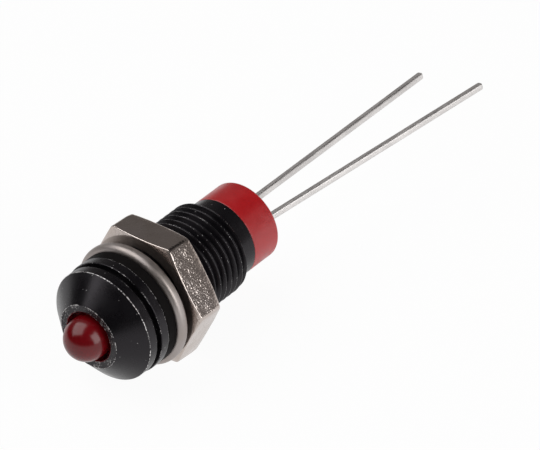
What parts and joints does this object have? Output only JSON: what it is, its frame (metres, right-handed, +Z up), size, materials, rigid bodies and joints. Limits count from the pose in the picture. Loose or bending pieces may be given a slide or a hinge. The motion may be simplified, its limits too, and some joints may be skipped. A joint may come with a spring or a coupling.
{
  "type": "panel mount indicator light",
  "caption": "Small panel indicator: red domed lamp in a black coned nose on a threaded barrel, with gasket, washer, nut, red end sleeve and bare solder leads.",
  "frame": {"origin": "on the barrel's axis, where the rear face of the gasket meets the front of the panel", "axes": "+Y along the barrel's axis towards the leads, so the nose points to -Y; +Z up, with a flat of the nut facing down"},
  "size_m": [0.0098, 0.037, 0.0086],
  "materials": {
    "black_chrome": "satin",
    "gasket_rubber": "matte",
    "nickel_washer": "gloss",
    "nickel_nut": "satin",
    "red_epoxy": "gloss",
    "tinned_lead": "satin",
    "chip": "satin",
    "gold_wire": "gloss",
    "white_nylon": "matte",
    "red_plastic": "satin",
    "potting": "satin"
  },
  "bodies": {
    "root": {"bezel_body": "black_chrome", "sealing_gasket": "gasket_rubber", "rim_washer": "nickel_washer", "hex_nut": "nickel_nut", "lamp_lens": "red_epoxy", "cathode_lead": "tinned_lead", "anode_lead": "tinned_lead", "lamp_chip": "chip", "bond_wire": "gold_wire", "lead_spacer": "white_nylon", "end_sleeve": "red_plastic", "potting_resin": "potting"}
  },
  "joints": []
}
